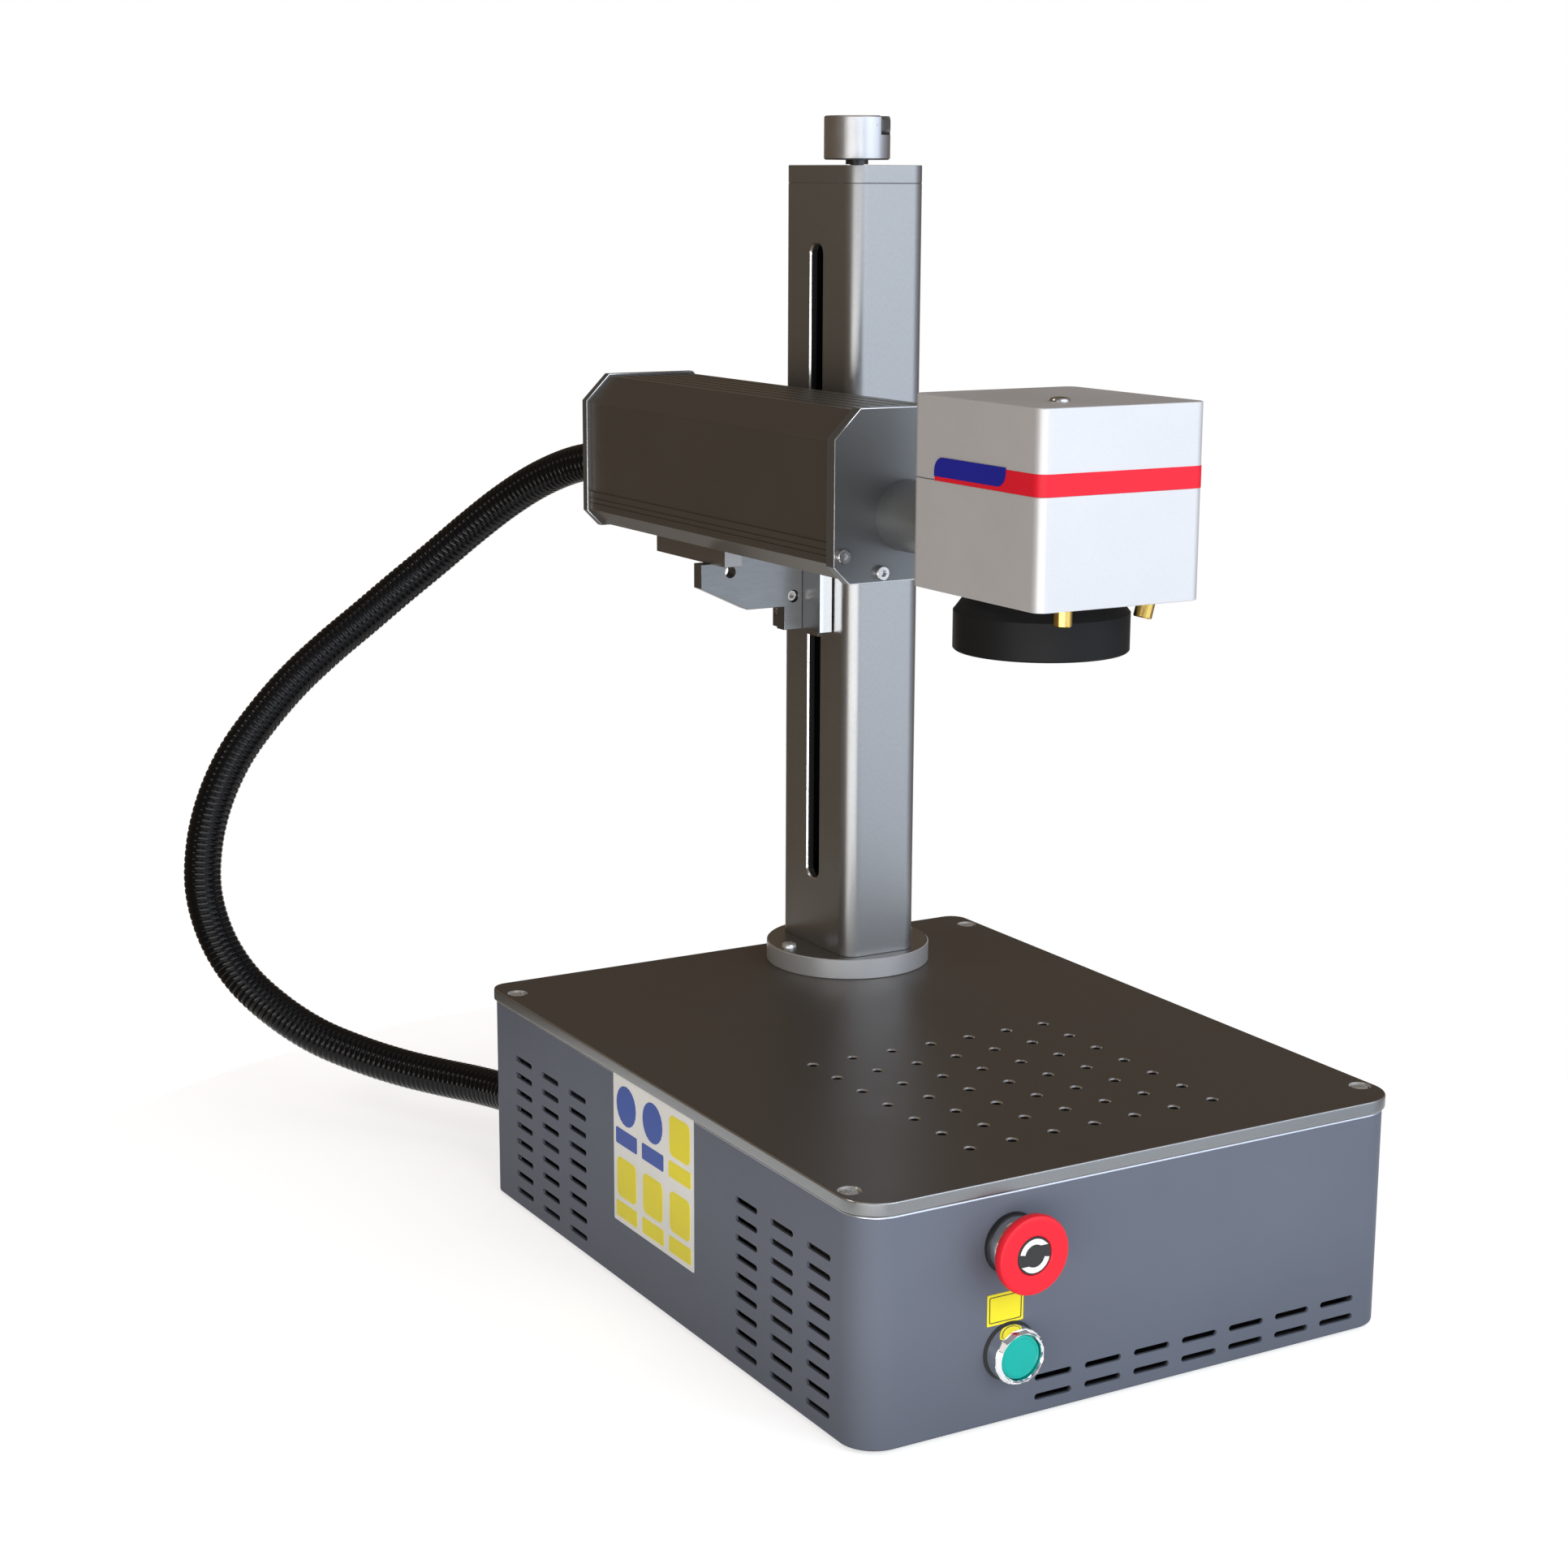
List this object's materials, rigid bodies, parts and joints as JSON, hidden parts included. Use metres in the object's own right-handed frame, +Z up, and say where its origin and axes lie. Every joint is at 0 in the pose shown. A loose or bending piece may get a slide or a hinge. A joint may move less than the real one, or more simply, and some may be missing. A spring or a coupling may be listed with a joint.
{
  "type": "bench laser marking machine",
  "caption": "Bench laser marking machine: vented electronics cabinet with a holed table, lift column, beam housing, scan head with lens, and a ribbed cable hose.",
  "frame": {"origin": "on the floor under the middle of the cabinet, at the centre of the four foot holes", "axes": "+X to the right seen from the front, +Y to the back, +Z up"},
  "size_m": [0.4345, 0.6821, 0.6245],
  "materials": {
    "case_paint": "fine textured paint",
    "table_paint": "satin black",
    "column_alu": "satin anodised",
    "grey_alu": "satin",
    "turned_alu": "turned",
    "silver_alu": "fine blasted",
    "black_metal": "satin anodised black",
    "steel": "machined",
    "chrome": "polished",
    "brass": "turned",
    "black_plastic": "satin",
    "hose_plastic": "glossy black",
    "red_plastic": "gloss",
    "green_plastic": "gloss",
    "red_film": "gloss film",
    "blue_film": "gloss film",
    "label_film": "satin film",
    "board_green": "solder mask",
    "black_rubber": "moulded",
    "lens_glass": "coated",
    "scan_mirror": "polished"
  },
  "bodies": {
    "cabinet": {"cabinet_shell": "case_paint", "bottom_pan": "case_paint", "foot_pads": "black_rubber", "corner_posts": "steel", "table_plate": "table_paint", "table_screws": "steel", "column_flange": "grey_alu", "column_tube": "column_alu", "column_foot_block": "grey_alu", "column_bolts": "steel", "column_cap": "column_alu", "screw_bearings": "steel", "guide_rods": "steel", "stop_base": "black_plastic", "start_bezel": "chrome", "panel_labels": "label_film", "laser_source": "black_metal", "power_supply": "turned_alu", "control_board": "board_green", "fan_frame": "black_plastic", "fan_guard": "steel", "power_inlet": "black_plastic", "usb_socket": "steel", "cabinet_gland": "black_plastic", "cable_hose": "hose_plastic"},
    "lift_screw": {"lead_screw": "steel", "hand_knob": "turned_alu", "crank_pin": "steel"},
    "crank": {"crank_lever": "black_metal"},
    "head": {"carriage": "grey_alu", "lead_nut": "brass", "slide_plate": "turned_alu", "clamp_block": "grey_alu", "bracket_arm": "turned_alu", "mount_rail": "black_metal", "housing_body": "black_metal", "housing_front_plate": "black_metal", "housing_rear_plate": "black_metal", "head_screws": "steel", "head_gland": "black_plastic", "collimator": "black_metal", "beam_tube": "black_metal", "galvo_base": "silver_alu", "galvo_cover": "silver_alu", "galvo_stripe": "red_film", "galvo_badge": "blue_film", "motor_bracket": "grey_alu", "galvo_motor_x": "black_metal", "galvo_motor_y": "black_metal", "lens_barrel": "black_metal", "lens_glass": "lens_glass", "pointer_left": "brass", "pointer_right": "brass"},
    "scan_mirror_x": {"mirror_x": "scan_mirror"},
    "scan_mirror_y": {"mirror_y": "scan_mirror"},
    "stop_plunger": {"stop_plunger": "black_plastic"},
    "stop_button": {"stop_head": "red_plastic"},
    "start_button": {"start_button": "green_plastic"},
    "fan_rotor": {"fan_rotor": "black_plastic"},
    "power_rocker": {"rocker_switch": "red_plastic"}
  },
  "joints": [
    {"name": "head_lift", "type": "slide", "parent": "cabinet", "child": "head", "axis": [0, 0, 1], "range_m": [-0.14, 0.17]},
    {"name": "handwheel_spin", "type": "hinge", "parent": "cabinet", "child": "lift_screw", "pos_m": [0.052, 0.1565, 0.6], "axis": [0, 0, 1], "range_deg": [-12245, 10085]},
    {"name": "crank_fold", "type": "hinge", "parent": "lift_screw", "child": "crank", "pos_m": [0.06081, 0.146, 0.6192], "axis": [0.766, 0.6428, 0], "range_deg": [0, 180]},
    {"name": "mirror_x_turn", "type": "hinge", "parent": "head", "child": "scan_mirror_x", "pos_m": [-0.008, -0.136, 0.418], "axis": [0, 0, 1], "range_deg": [-12, 12]},
    {"name": "mirror_y_turn", "type": "hinge", "parent": "head", "child": "scan_mirror_y", "pos_m": [-0.02, -0.136, 0.418], "axis": [0, 1, 0], "range_deg": [-12, 12]},
    {"name": "stop_press", "type": "slide", "parent": "cabinet", "child": "stop_plunger", "axis": [0, 1, 0], "range_m": [0, 0.004], "stiffness_N_per_m": 500, "springref_m": -0.002},
    {"name": "stop_twist", "type": "hinge", "parent": "stop_plunger", "child": "stop_button", "pos_m": [-0.079, -0.2265, 0.0935], "axis": [0, 1, 0], "range_deg": [0, 35]},
    {"name": "start_press", "type": "slide", "parent": "cabinet", "child": "start_button", "axis": [0, 1, 0], "range_m": [0, 0.0025], "stiffness_N_per_m": 400, "springref_m": -0.001},
    {"name": "fan_spin", "type": "hinge", "parent": "cabinet", "child": "fan_rotor", "pos_m": [0.06, 0.19, 0.06], "axis": [0, 1, 0], "continuous": true},
    {"name": "power_toggle", "type": "hinge", "parent": "cabinet", "child": "power_rocker", "pos_m": [-0.05, 0.204, 0.082], "axis": [1, 0, 0], "range_deg": [-8, 8]}
  ],
  "couplings": [
    {"joint": "handwheel_spin", "follows": "head_lift", "rad_per_m": -1256.6}
  ]
}
